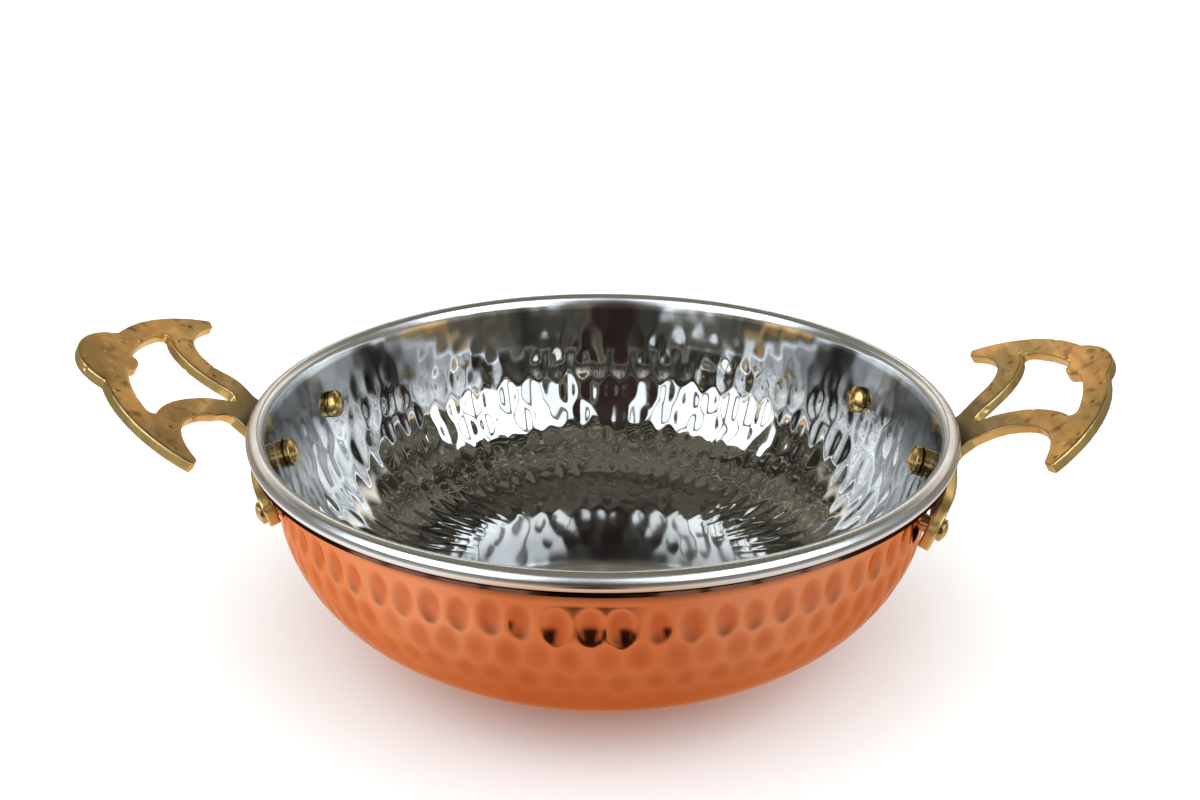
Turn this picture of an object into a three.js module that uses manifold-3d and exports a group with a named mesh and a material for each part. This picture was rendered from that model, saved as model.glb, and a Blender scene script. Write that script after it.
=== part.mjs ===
// Copper handi: a hammered copper shell nested on a steel bowl with a rolled rim,
// carried by two cast brass handles, each held by three rivets through both sheets.
// Millimetres, +Z up. The origin is the middle of the base, and the handles lie along X.

import * as THREE from 'three';
import { mergeVertices } from 'three/addons/utils/BufferGeometryUtils.js';
import Module from 'manifold-3d';

// Bowl and shell
const openingDiameter = 160; // inside the rolled rim
const copperHeight = 55; // table to the edge of the copper
const baseDiameter = 64; // flat that the shell stands on
const bodyRadius = 34; // curve that turns the underside and the floor up into the wall
const wallInset = 0.6; // outside of the copper wall, inside the line of the opening
const shoulderDrop = 12; // copper edge down to where the wall stands upright
const flareDrop = 7; // copper edge down to where the wall leans out to the rim
const copperThickness = 0.7;
const steelThickness = 0.9;
const sheetGap = 0.3; // between the two sheets
const beadDiameter = 5; // rolled rim
const beadLift = 2.2; // middle of the rolled rim above the copper edge
const lipGap = 0.7; // rolled rim to the copper lip that cups it from below

// Handle plate as cast, flat: measured outward from the root line and to either side
const plateThickness = 2.6;
const rootStandoff = 2.6; // root line outside the copper lip, before the plate is bent
const rootHalfWidth = 7;
const rootLap = 0.4; // plate carried on into the neck
const bendReach = 6.5; // line across the arms where they are bent down to the neck
const bendHalfWidth = 14; // the horns, farther out than this, stay in the plane of the plate
const sweepReach = 8; // a turned plate swings round over this length
const crescentSetback = 3; // centre of the crescent behind the root line
const crescentRadius = 38.4; // outer edge
const crescentWidth = 6;
const hornDegrees = 67.3; // horn ends, either side of the middle
const hornTipWidth = 2.7;
const waistReach = 5.5; // the outer edge of an arm leaves the neck toward this point
const waistHalfWidth = 9.3;
const shoulderHalfWidth = 12.5; // from here it turns along the notch
const notchReach = 15.1; // deepest point between an arm and its horn
const notchHalfWidth = 22;
const hornRootHalfWidth = 26.5; // from here the notch turns into the horn
const hornBackReach = 12.9; // the inner edge of the horn is drawn toward this point
const hornBackHalfWidth = 30;
const knobRadius = 13.3;
const knobProud = 2.8; // tip of the knob beyond the crescent
const slotReach = 2.9; // where the two arms part
const slotHalfWidth = 2.2;
const slotTaper = 2.1; // length of the rounded end of the slot
const slotRound = 1.5; // how square that end is
const armBendReach = 11.4; // the loop follows an arm toward this point
const armBendHalfWidth = 4.3;
const armEndReach = 19.5; // and comes to the loop's corner from this one
const armEndHalfWidth = 10.5;
const loopCornerReach = 21.2;
const loopCornerHalfWidth = 18.4;
const loopCornerRound = 1.9;
const loopCornerDegrees = 35.7;
const stubDepth = 2.2; // small nub inside the crescent, at the middle
const stubHalfWidth = 4.2;

// Handle strap, bent round the wall below the rim
const strapGap = 1.3; // off the copper wall, at the strap's lower edge
const strapLeanDegrees = 15; // outward, so that the strap clears the rim
const strapHalfDegrees = 27.5;
const strapDrop = 13.7; // root line down to the strap's lower edge
const legRise = 4.6; // rivets up to the upper edge of the legs
const legEndHeight = 3.5; // straight part of a leg's end
const legEndRun = 10; // rounded corner of a leg, along it
const neckFilletRun = 8; // corner between a leg and the neck, along the leg
const neckFilletRise = 3.1;
const bendRadius = 3.5; // inside face, from the strap up into the neck

// Rivets
const shankRadius = 2;
const innerHeadRadius = 3.25;
const outerHeadRadius = 2.6;
const innerHeadSide = 1.3;
const innerHeadDome = 1;
const outerHeadSide = 1.1;
const outerHeadDome = 0.7;
const drillClearance = 0.3; // shank in its holes, and head in its spot face
const seatGap = 0.3; // under each head
const spotFaceDepth = 0.6; // flat for the outer head, into the middle of its hole

// Heights that differ from handle to handle
const rightRootDrop = 5.4; // top of the rim down to the root line
const leftRootDrop = 2.5;
const rightRivetDrop = 9.5; // copper edge down to the rivets
const leftRivetDrop = 8.7;

// Each handle was bent and drilled by hand, in degrees: the slopes of its plate and neck,
// the turn of its plate toward the front, and the places of its rivets round the bowl.
const rightHandle = {
  heading: 0,
  plateTilt: 31,
  neckTilt: 41,
  yaw: 0,
  rivets: { front: -25, middle: -2.3, back: 27.3 },
};
const leftHandle = {
  heading: 180,
  plateTilt: 28.5,
  neckTilt: 45,
  yaw: 16.3,
  rivets: { front: 25, middle: 4.6, back: -18.5 },
};

// Facets
const roundFacets = 48;
const arcSteps = 6;
const rivetFacets = 12;

// Sizes that follow
const openingRadius = openingDiameter / 2;
const wallRadius = openingRadius - wallInset;
const beadRadius = beadDiameter / 2;
const bead = new THREE.Vector2(openingRadius + beadRadius, copperHeight + beadLift);
const lipInner = beadRadius + lipGap;
const lipOuter = lipInner + copperThickness;
const lipEnd = -Math.asin(beadLift / lipInner);
const lipReach = bead.x + lipOuter * Math.cos(lipEnd);
const shoulderHeight = copperHeight - shoulderDrop;
const flareHeight = copperHeight - flareDrop;
const steelOutside = copperThickness + sheetGap;
const steelInside = steelOutside + steelThickness;
const strapInner = wallRadius + strapGap;
const strapLean = THREE.MathUtils.degToRad(strapLeanDegrees);
const strapAcross = plateThickness / Math.cos(strapLean); // its thickness, measured level
const knobReach = crescentRadius - crescentSetback + knobProud;
const hornAngle = THREE.MathUtils.degToRad(hornDegrees);
const loopCornerAngle = THREE.MathUtils.degToRad(loopCornerDegrees);
const strapHalfAngle = THREE.MathUtils.degToRad(strapHalfDegrees);
const rimTop = bead.y + beadRadius;
rightHandle.rootHeight = rimTop - rightRootDrop;
leftHandle.rootHeight = rimTop - leftRootDrop;
rightHandle.rivetHeight = copperHeight - rightRivetDrop;
leftHandle.rivetHeight = copperHeight - leftRivetDrop;
for (const handle of [rightHandle, leftHandle]) {
  handle.strapFoot = handle.rootHeight - strapDrop;
  handle.legTop = handle.rivetHeight + legRise;
  const strapFace = strapAt(handle, handle.rivetHeight) + strapAcross;
  handle.rivetFace = strapFace - spotFaceDepth;
}

// The inside of a leaning strap at some height.
function strapAt(handle, height) {
  return strapInner + (height - handle.strapFoot) * Math.tan(strapLean);
}

const wasm = await Module();
wasm.setup();

// A closed mesh with shared vertices and no empty triangles becomes a solid.
function toSolid(geometry) {
  const bare = geometry.clone();
  bare.deleteAttribute('normal');
  bare.deleteAttribute('uv');
  const merged = mergeVertices(bare, 1e-4);
  const index = merged.index.array;
  const corners = [0, 1, 2].map(() => new THREE.Vector3());
  const triangles = [];
  let volume = 0;
  for (let i = 0; i < index.length; i += 3) {
    const [a, b, c] = [index[i], index[i + 1], index[i + 2]];
    if (a === b || b === c || c === a) continue;
    triangles.push([a, b, c]);
    [a, b, c].forEach((corner, k) => corners[k].fromBufferAttribute(merged.attributes.position, corner));
    volume += corners[0].dot(corners[1].clone().cross(corners[2]));
  }
  const outward = triangles.map(([a, b, c]) => (volume > 0 ? [a, b, c] : [a, c, b]));
  const vertProperties = new Float32Array(merged.attributes.position.array);
  const triVerts = new Uint32Array(outward.flat());
  return new wasm.Manifold(new wasm.Mesh({ numProp: 3, vertProperties, triVerts }));
}

function toGeometry(solid) {
  const mesh = solid.getMesh();
  const geometry = new THREE.BufferGeometry();
  geometry.setAttribute('position', new THREE.BufferAttribute(new Float32Array(mesh.vertProperties), 3));
  geometry.setIndex(new THREE.BufferAttribute(new Uint32Array(mesh.triVerts), 1));
  geometry.computeVertexNormals();
  return geometry;
}

// A profile of radius and height, turned about Z.
function turned(profile, facets) {
  return new THREE.LatheGeometry(profile, facets).rotateX(Math.PI / 2);
}

// A round bar along the radius, where a rivet goes, to drill or spot-face with.
function radialBar(handle, radius, from, to, degrees) {
  return new THREE.CylinderGeometry(radius, radius, to - from, rivetFacets)
    .rotateZ(-Math.PI / 2)
    .translate((from + to) / 2, 0, handle.rivetHeight)
    .rotateZ(THREE.MathUtils.degToRad(degrees));
}

function arc(centre, radius, start, end, steps = arcSteps) {
  return Array.from({ length: steps + 1 }, (_, i) => {
    const angle = start + ((end - start) * i) / steps;
    return new THREE.Vector2(centre.x + radius * Math.cos(angle), centre.y + radius * Math.sin(angle));
  });
}

// Where a line from a point first meets a circle.
function lineMeetsCircle(point, direction, centre, radius) {
  const toCentre = centre.clone().sub(point);
  const along = toCentre.dot(direction);
  const half = Math.sqrt(radius ** 2 - (toCentre.lengthSq() - along ** 2));
  return point.clone().addScaledVector(direction, along - half);
}

const angleAbout = (centre, point) => Math.atan2(point.y - centre.y, point.x - centre.x);

// The lower section of each sheet: offset is the distance inside the copper's outer face.
// The copper's underside runs straight from the base edge to touch the body curve. The steel
// follows that curve on down to a flat floor of its own, with a hollow under it.
const bodyCentre = new THREE.Vector2(wallRadius - bodyRadius, shoulderHeight);
const baseEdge = new THREE.Vector2(baseDiameter / 2, 0);
const baseToCentre = bodyCentre.clone().sub(baseEdge);
const undersideSlope = baseToCentre.angle() - Math.asin(bodyRadius / baseToCentre.length());
const touchAngle = undersideSlope - Math.PI / 2;

function copperFoot(offset) {
  const curve = arc(bodyCentre, bodyRadius - offset, touchAngle, 0);
  const edge = curve[0].x - (curve[0].y - offset) / Math.tan(undersideSlope);
  return [new THREE.Vector2(0, offset), new THREE.Vector2(edge, offset), ...curve];
}

function steelFoot(offset) {
  const radius = bodyRadius - offset;
  const floorTurn = arc(bodyCentre, radius, -Math.PI / 2, touchAngle, arcSteps / 3);
  const curve = arc(bodyCentre, radius, touchAngle, 0);
  return [new THREE.Vector2(0, floorTurn[0].y), ...floorTurn, ...curve.slice(1)];
}

// The flare leans so that the steel's inner face runs on into the rolled rim.
const innerFlareFoot = new THREE.Vector2(wallRadius - steelInside, flareHeight);
const footToBead = bead.clone().sub(innerFlareFoot);
const flareSlope = footToBead.angle() + Math.asin(beadRadius / footToBead.length());
const flareDirection = new THREE.Vector2(Math.cos(flareSlope), Math.sin(flareSlope));
const flareLean = Math.PI / 2 - flareSlope;

function flareFoot(offset) {
  const rise = (steelInside - offset) * Math.tan(flareLean / 2);
  return new THREE.Vector2(wallRadius - offset, flareHeight - rise);
}

function steelProfile() {
  const outerFoot = flareFoot(steelOutside);
  const underRim = lineMeetsCircle(outerFoot, flareDirection, bead, beadRadius);
  const rimStart = Math.PI / 2 + flareSlope;
  const rimEnd = angleAbout(bead, underRim);
  return [
    ...steelFoot(steelInside),
    innerFlareFoot,
    ...arc(bead, beadRadius, rimStart, rimEnd, 2 * arcSteps),
    outerFoot,
    ...steelFoot(steelOutside).reverse(),
  ];
}

function copperProfile() {
  const outerFoot = flareFoot(0);
  const innerFoot = flareFoot(copperThickness);
  const outerTop = lineMeetsCircle(outerFoot, flareDirection, bead, lipOuter);
  const innerTop = lineMeetsCircle(innerFoot, flareDirection, bead, lipInner);
  return [
    ...copperFoot(0),
    outerFoot,
    ...arc(bead, lipOuter, angleAbout(bead, outerTop), lipEnd),
    ...arc(bead, lipInner, lipEnd, angleAbout(bead, innerTop)),
    innerFoot,
    ...copperFoot(copperThickness).reverse(),
  ];
}

// One side of the handle's outline and of its loop, then both sides as a closed shape.
function outerEdge() {
  const centre = new THREE.Vector2(-crescentSetback, 0);
  const knobCentre = new THREE.Vector2(knobReach - knobRadius, 0);
  const spacing = knobCentre.x - centre.x;
  const meetAlong = (spacing ** 2 + crescentRadius ** 2 - knobRadius ** 2) / (2 * spacing);
  const meetAcross = Math.sqrt(crescentRadius ** 2 - meetAlong ** 2);
  const meet = new THREE.Vector2(centre.x + meetAlong, meetAcross);
  const tip = arc(centre, crescentRadius - hornTipWidth, hornAngle, hornAngle, 1)[0];
  const arm = new THREE.Path();
  arm.moveTo(-rootLap, rootHalfWidth);
  arm.lineTo(0, rootHalfWidth);
  arm.bezierCurveTo(
    waistReach, waistHalfWidth, notchReach, shoulderHalfWidth, notchReach, notchHalfWidth,
  );
  arm.bezierCurveTo(notchReach, hornRootHalfWidth, hornBackReach, hornBackHalfWidth, tip.x, tip.y);
  return [
    ...arm.getPoints(arcSteps),
    ...arc(centre, crescentRadius, hornAngle, angleAbout(centre, meet), 2 * arcSteps),
    ...arc(knobCentre, knobRadius, angleAbout(knobCentre, meet), 0).slice(1),
  ];
}

function loopEdge() {
  const centre = new THREE.Vector2(-crescentSetback, 0);
  const innerRadius = crescentRadius - crescentWidth;
  const stubStart = Math.asin(stubHalfWidth / innerRadius);
  const crescent = arc(centre, innerRadius, loopCornerAngle, stubStart);
  const stubTip = centre.x + innerRadius - stubDepth;
  const arm = new THREE.Path();
  arm.moveTo(slotReach, 0);
  arm.quadraticCurveTo(slotReach, slotRound, slotReach + slotTaper, slotHalfWidth);
  arm.bezierCurveTo(
    armBendReach, armBendHalfWidth,
    armEndReach, armEndHalfWidth,
    loopCornerReach, loopCornerHalfWidth,
  );
  const corner = loopCornerHalfWidth + loopCornerRound;
  arm.quadraticCurveTo(loopCornerReach, corner, crescent[0].x, crescent[0].y);
  const stub = new THREE.Path();
  const foot = crescent[crescent.length - 1];
  stub.moveTo(foot.x, foot.y);
  stub.bezierCurveTo(foot.x, 0.5 * foot.y, stubTip, 0.75 * foot.y, stubTip, 0);
  return [...arm.getPoints(arcSteps / 2), ...crescent.slice(1), ...stub.getPoints(arcSteps / 2).slice(1)];
}

function mirrored(edge, closesOnAxis) {
  const other = edge.map((point) => new THREE.Vector2(point.x, -point.y)).reverse();
  return closesOnAxis ? [...edge, ...other.slice(1, -1)] : [...edge, ...other.slice(1)];
}

// A point of a plate turned in its own plane: the root stays square to the neck.
function swept(point, yaw) {
  const share = THREE.MathUtils.smoothstep(point.x, 0, sweepReach);
  return point.clone().rotateAround(new THREE.Vector2(), yaw * share);
}

// A direction that rises at a slope, as seen from the side.
const along = (slope) => new THREE.Vector2(Math.cos(slope), Math.sin(slope));
const below = (slope) => new THREE.Vector2(Math.sin(slope), -Math.cos(slope));

// Where the plate is bent down, and where its neck then starts.
function bendLine(handle) {
  const root = new THREE.Vector2(lipReach + rootStandoff, handle.rootHeight);
  return root.addScaledVector(along(THREE.MathUtils.degToRad(handle.plateTilt)), bendReach);
}

function neckRoot(handle) {
  const slope = THREE.MathUtils.degToRad(handle.neckTilt);
  return bendLine(handle).addScaledVector(along(slope), -bendReach);
}

// The plate, cast flat, then bent across its arms.
function plate(handle) {
  const yaw = THREE.MathUtils.degToRad(handle.yaw);
  const turnedPlate = (points) => points.map((point) => swept(point, yaw));
  const outline = new THREE.Shape(turnedPlate(mirrored(outerEdge(), false)));
  outline.holes.push(new THREE.Path(turnedPlate(mirrored(loopEdge(), true).reverse())));
  const flat = toSolid(
    new THREE.ExtrudeGeometry(outline, { depth: plateThickness, bevelEnabled: false }),
  );
  const armZone = toSolid(
    new THREE.BoxGeometry(2 * bendReach, 2 * bendHalfWidth, 4 * plateThickness),
  );
  const bend = bendLine(handle);
  const bent = (part, tilt) => part
    .translate([-bendReach, 0, -plateThickness])
    .rotate([0, -tilt, 0])
    .translate([bend.x, 0, bend.y]);
  const arms = bent(flat.intersect(armZone), handle.neckTilt);
  return bent(flat.subtract(armZone), handle.plateTilt).add(arms);
}

// Rings with the section of the legs, and of the neck bent out from them, to be trimmed.
function legRing(handle) {
  const inside = [handle.strapFoot, handle.legTop].map(
    (height) => new THREE.Vector2(strapAt(handle, height), height),
  );
  const outside = inside.map((point) => new THREE.Vector2(point.x + strapAcross, point.y)).reverse();
  return turned([...inside, ...outside, inside[0].clone()], roundFacets);
}

function neckRing(handle) {
  const root = neckRoot(handle);
  const slope = THREE.MathUtils.degToRad(handle.neckTilt);
  const strapSlope = Math.PI / 2 - strapLean;
  const bendStep = below(slope).sub(below(strapSlope)).multiplyScalar(bendRadius);
  const start = root.clone().add(bendStep);
  const excess = start.x - strapAt(handle, start.y);
  const neckLength = excess / (Math.cos(slope) - Math.sin(slope) * Math.tan(strapLean));
  const bendEnd = root.clone().addScaledVector(along(slope), -neckLength);
  const bendCentre = bendEnd.clone().addScaledVector(below(slope), bendRadius);
  const bendArc = (radius) => arc(bendCentre, radius, Math.PI - strapLean, slope + Math.PI / 2);
  const foot = new THREE.Vector2(strapInner, handle.strapFoot);
  const section = [
    foot,
    ...bendArc(bendRadius),
    root,
    root.clone().addScaledVector(below(slope), plateThickness),
    ...bendArc(bendRadius - plateThickness).reverse(),
    new THREE.Vector2(foot.x + strapAcross, foot.y),
  ];
  return turned([...section, section[0].clone()], roundFacets);
}

// Half an outline of side and height, seen along the radius, made a prism on both sides.
function radialPrism(half, reach) {
  const otherHalf = half.map((point) => new THREE.Vector2(-point.x, point.y)).reverse();
  const upright = new THREE.Matrix4().set(0, 0, 1, 0, 1, 0, 0, 0, 0, 1, 0, 0, 0, 0, 0, 1);
  const shape = new THREE.Shape([...half, ...otherHalf]);
  return new THREE.ExtrudeGeometry(shape, { depth: reach, bevelEnabled: false }).applyMatrix4(upright);
}

function legOutline(handle) {
  const legEnd = (strapInner + strapAcross) * Math.sin(strapHalfAngle);
  const side = new THREE.Path();
  side.moveTo(legEnd, 0);
  side.lineTo(legEnd, handle.strapFoot + legEndHeight);
  side.quadraticCurveTo(legEnd, handle.legTop, legEnd - legEndRun, handle.legTop);
  return side.getPoints(arcSteps);
}

function neckOutline(handle) {
  const filletTop = handle.legTop + neckFilletRise;
  const side = new THREE.Path();
  side.moveTo(rootHalfWidth, 0);
  side.lineTo(rootHalfWidth, handle.legTop);
  side.lineTo(rootHalfWidth + neckFilletRun, handle.legTop);
  side.quadraticCurveTo(rootHalfWidth, handle.legTop, rootHalfWidth, filletTop);
  side.lineTo(rootHalfWidth, neckRoot(handle).y + plateThickness);
  return side.getPoints(arcSteps);
}

// The strap's legs are cut square to the wall at their ends.
function strapSpan(reach) {
  const across = reach * Math.tan(strapHalfAngle);
  const shape = new THREE.Shape();
  shape.moveTo(0, 0);
  shape.lineTo(reach, -across);
  shape.lineTo(reach, across);
  return new THREE.ExtrudeGeometry(shape, { depth: 2 * copperHeight, bevelEnabled: false });
}

function handleGeometry(handle) {
  const reach = neckRoot(handle).x + knobReach;
  const legs = toSolid(legRing(handle))
    .intersect(toSolid(radialPrism(legOutline(handle), reach)))
    .intersect(toSolid(strapSpan(reach)));
  const neck = toSolid(neckRing(handle)).intersect(toSolid(radialPrism(neckOutline(handle), reach)));
  let solid = legs.add(neck).add(plate(handle));
  for (const degrees of Object.values(handle.rivets)) {
    const hole = radialBar(handle, shankRadius + drillClearance, bodyCentre.x, reach, degrees);
    const headRadius = outerHeadRadius + drillClearance;
    const spotFace = radialBar(handle, headRadius, handle.rivetFace, lipReach + rootStandoff, degrees);
    solid = solid.subtract(toSolid(hole)).subtract(toSolid(spotFace));
  }
  return toGeometry(solid);
}

function drilled(profile) {
  let solid = toSolid(turned(profile, roundFacets));
  const holeRadius = shankRadius + drillClearance;
  for (const handle of [rightHandle, leftHandle]) {
    for (const degrees of Object.values(handle.rivets)) {
      const hole = radialBar(handle, holeRadius, bodyCentre.x, lipReach, handle.heading + degrees);
      solid = solid.subtract(toSolid(hole));
    }
  }
  return toGeometry(solid);
}

// A rivet lies along the radius: a turned head inside, a set head outside.
function rivetGeometry(handle) {
  const innerSeat = wallRadius - steelInside - seatGap;
  const outerSeat = handle.rivetFace + seatGap;
  const innerEdge = innerSeat - innerHeadSide;
  const outerEdgeOfHead = outerSeat + outerHeadSide;
  const profile = [
    new THREE.Vector2(0, innerEdge - innerHeadDome),
    new THREE.Vector2(0.5 * innerHeadRadius, innerEdge - 0.75 * innerHeadDome),
    new THREE.Vector2(0.86 * innerHeadRadius, innerEdge - 0.3 * innerHeadDome),
    new THREE.Vector2(innerHeadRadius, innerEdge),
    new THREE.Vector2(innerHeadRadius, innerSeat),
    new THREE.Vector2(shankRadius, innerSeat),
    new THREE.Vector2(shankRadius, outerSeat),
    new THREE.Vector2(outerHeadRadius, outerSeat),
    new THREE.Vector2(outerHeadRadius, outerEdgeOfHead),
    new THREE.Vector2(0.8 * outerHeadRadius, outerEdgeOfHead + 0.75 * outerHeadDome),
    new THREE.Vector2(0, outerEdgeOfHead + outerHeadDome),
  ];
  const lying = new THREE.LatheGeometry(profile, rivetFacets).rotateZ(-Math.PI / 2);
  return toGeometry(toSolid(lying));
}

const copper = new THREE.MeshStandardMaterial({ color: 0xc06a3c, metalness: 1, roughness: 0.32 });
const steel = new THREE.MeshStandardMaterial({ color: 0xc9ccd0, metalness: 1, roughness: 0.18 });
const brass = new THREE.MeshStandardMaterial({ color: 0xa98848, metalness: 1, roughness: 0.38 });

function named(name, geometry, material) {
  const mesh = new THREE.Mesh(geometry, material.clone());
  mesh.name = name;
  return mesh;
}

const handi = new THREE.Group();
handi.add(named('steel_bowl', drilled(steelProfile()), steel));
handi.add(named('copper_shell', drilled(copperProfile()), copper));

for (const [side, handle] of Object.entries({ right: rightHandle, left: leftHandle })) {
  const fittings = new THREE.Group();
  fittings.rotation.z = THREE.MathUtils.degToRad(handle.heading);
  fittings.add(named(`${side}_handle`, handleGeometry(handle), brass));
  for (const [place, degrees] of Object.entries(handle.rivets)) {
    const rivet = named(`${side}_${place}_rivet`, rivetGeometry(handle), brass);
    rivet.position.z = handle.rivetHeight;
    rivet.rotation.z = THREE.MathUtils.degToRad(degrees);
    fittings.add(rivet);
  }
  handi.add(fittings);
}

export default handi;
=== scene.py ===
import math

import bpy
import numpy as np
from mathutils import Matrix, Quaternion, Vector, noise


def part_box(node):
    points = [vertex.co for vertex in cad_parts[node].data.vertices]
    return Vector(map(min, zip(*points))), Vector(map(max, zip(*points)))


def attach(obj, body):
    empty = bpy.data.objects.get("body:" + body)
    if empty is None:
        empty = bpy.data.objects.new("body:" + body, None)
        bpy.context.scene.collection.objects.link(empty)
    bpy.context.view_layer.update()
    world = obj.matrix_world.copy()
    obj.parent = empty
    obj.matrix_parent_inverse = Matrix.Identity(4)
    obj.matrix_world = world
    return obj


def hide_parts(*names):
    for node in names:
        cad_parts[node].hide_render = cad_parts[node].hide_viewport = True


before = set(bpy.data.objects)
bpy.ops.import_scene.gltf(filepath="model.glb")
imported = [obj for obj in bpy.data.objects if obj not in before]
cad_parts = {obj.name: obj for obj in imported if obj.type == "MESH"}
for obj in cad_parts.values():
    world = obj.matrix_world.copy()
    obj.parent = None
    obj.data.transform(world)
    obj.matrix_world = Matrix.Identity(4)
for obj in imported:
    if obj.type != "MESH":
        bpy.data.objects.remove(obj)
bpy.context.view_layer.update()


# Steel bowl
# The inner bowl is stainless sheet spun to shape, hammered in rows so that its inner face
# is rippled, buffed to a mirror, and rolled outward at its edge into the bead of the rim.

mm = 0.001
steel_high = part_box("steel_bowl")[1]
copper_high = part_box("copper_shell")[1]
bead_radius = 2.1 * mm
rim_overhang = 5.6 * mm
copper_thickness = 0.7 * mm
sheet_gap = 2 * mm
steel_thickness = 0.2 * mm
body_radius = 34 * mm
wall_rise = 12 * mm
bead = np.array([steel_high.x - bead_radius, steel_high.z - bead_radius])
wall_radius = steel_high.x - rim_overhang
shoulder_height = copper_high.z - wall_rise
steel_outside = copper_thickness + sheet_gap
steel_inside = steel_outside + steel_thickness
body_centre = np.array([wall_radius - body_radius, shoulder_height])

to_bead = bead - body_centre
wall_lean = math.acos((body_radius - steel_inside + bead_radius) / math.hypot(*to_bead))
wall_lean -= math.atan2(to_bead[1], to_bead[0])


def straight(start, end, steps):
    return np.linspace(start, end, steps + 1)


def arc(centre, radius, start, end, steps):
    angle = np.linspace(start, end, steps + 1)
    return np.column_stack([centre[0] + radius * np.cos(angle), centre[1] + radius * np.sin(angle)])


def chain(*runs):
    """Runs of points end to end, without the points where they meet twice."""
    points = np.concatenate(runs)
    apart = np.hypot(*np.diff(points, axis=0).T) > 1e-7
    return points[np.concatenate([[True], apart])]


def body_face(inset, start, lean, steps):
    """One face of a sheet from where its body curve starts up to the foot of the straight wall."""
    return arc(body_centre, body_radius - inset, start, -lean, steps)


def wall_at(height, inset):
    """How far from the axis a face of the straight wall is at a height."""
    above = height - body_centre[1]
    return body_centre[0] + (body_radius - inset + above * math.sin(wall_lean)) / math.cos(wall_lean)


def steel_side(inset, floor_steps, body_steps):
    """A face of the steel: a flat floor that runs out into the body curve."""
    body = body_face(inset, -math.pi / 2, wall_lean, body_steps)
    return chain(straight((0, body[0][1]), body[0], floor_steps), body)


def wall_meets(point, lean, radius):
    """Where the straight wall, carried on from a point, comes to a circle round the rolled rim."""
    direction = np.array([math.sin(lean), math.cos(lean)])
    to_rim = bead - point
    along = to_rim @ direction
    short = math.sqrt(max(radius**2 - (to_rim @ to_rim - along**2), 0))
    return point + direction * (along - short)


def angle_on_rim(point):
    """How far a point is turned down round the rolled rim from its outermost place."""
    return -(math.atan2(bead[1] - point[1], point[0] - bead[0]) % (2 * math.pi))


spin_sectors = 16


def spun(name, section, steps):
    """A section of radius and height drawn edge by edge, spun one sector and copied round Z."""
    bpy.ops.object.select_all(action="DESELECT")
    bpy.ops.mesh.primitive_plane_add(size=mm, location=(0, 0, 0))
    piece = bpy.context.object
    piece.name = name
    bpy.ops.object.mode_set(mode="EDIT")
    bpy.ops.mesh.merge(type="CENTER")
    bpy.ops.transform.translate(value=(section[0][0], 0, section[0][1]))
    for step in np.diff(section, axis=0):
        bpy.ops.mesh.extrude_region_move(TRANSFORM_OT_translate={"value": (step[0], 0, step[1])})
    bpy.ops.mesh.select_all(action="SELECT")
    sector = 2 * math.pi / spin_sectors
    bpy.ops.mesh.spin(steps=steps // spin_sectors, angle=sector, center=(0, 0, 0), axis=(0, 0, 1))
    bpy.ops.mesh.select_all(action="SELECT")
    others = spin_sectors - 1
    bpy.ops.mesh.spin(
        steps=others, dupli=True, angle=others * sector, center=(0, 0, 0), axis=(0, 0, 1),
    )
    bpy.ops.mesh.select_all(action="SELECT")
    bpy.ops.mesh.remove_doubles(threshold=0.001 * mm)
    bpy.ops.mesh.normals_make_consistent(inside=False)
    bpy.ops.object.mode_set(mode="OBJECT")
    return piece


def points_of(piece):
    points = np.empty(3 * len(piece.data.vertices))
    piece.data.vertices.foreach_get("co", points)
    return points.reshape(-1, 3)


def put_points(piece, points):
    piece.data.vertices.foreach_set("co", points.ravel())
    piece.data.update()


blow_slip = 0.05
blow_rise = 0.3 * mm
blow_spread = 0.05
blow_force = 0.12
smooth_floor_radius = 0.3 * wall_radius


def hammer_marks(turn, down, rows, blows, edge, scatter, crispness, seed):
    """How deep the blows are at each turn round the bowl and distance down its wall."""
    draws = np.random.default_rng(seed)
    pitch = 2 * math.pi * wall_radius / blows
    depth = np.zeros_like(turn)
    for number, (row_down, half_width, half_height, row_depth) in enumerate(rows):
        slip = draws.normal(0, blow_slip * scatter, blows)
        rise = draws.normal(0, blow_rise * scatter, blows)
        spread = draws.normal(1, blow_spread * scatter, blows)
        force = draws.normal(1, blow_force * scatter, blows)
        place = turn * blows / (2 * math.pi) - 0.5 * number
        nearest = np.floor(place + 0.5).astype(int)
        for beside in (-1, 0, 1):
            blow = (nearest + beside) % blows
            across = (place - nearest - beside - slip[blow]) * pitch / (half_width * spread[blow])
            along = (down - row_down - rise[blow]) / (half_height * spread[blow])
            hollow = 1 - across**2 - along**2
            hollow = 0.5 * (hollow + np.sqrt(hollow**2 + edge**2))
            here = np.abs(row_depth * force[blow] * hollow) / mm
            depth = (depth**crispness + here**crispness) ** (1 / crispness)
    return depth * mm


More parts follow.
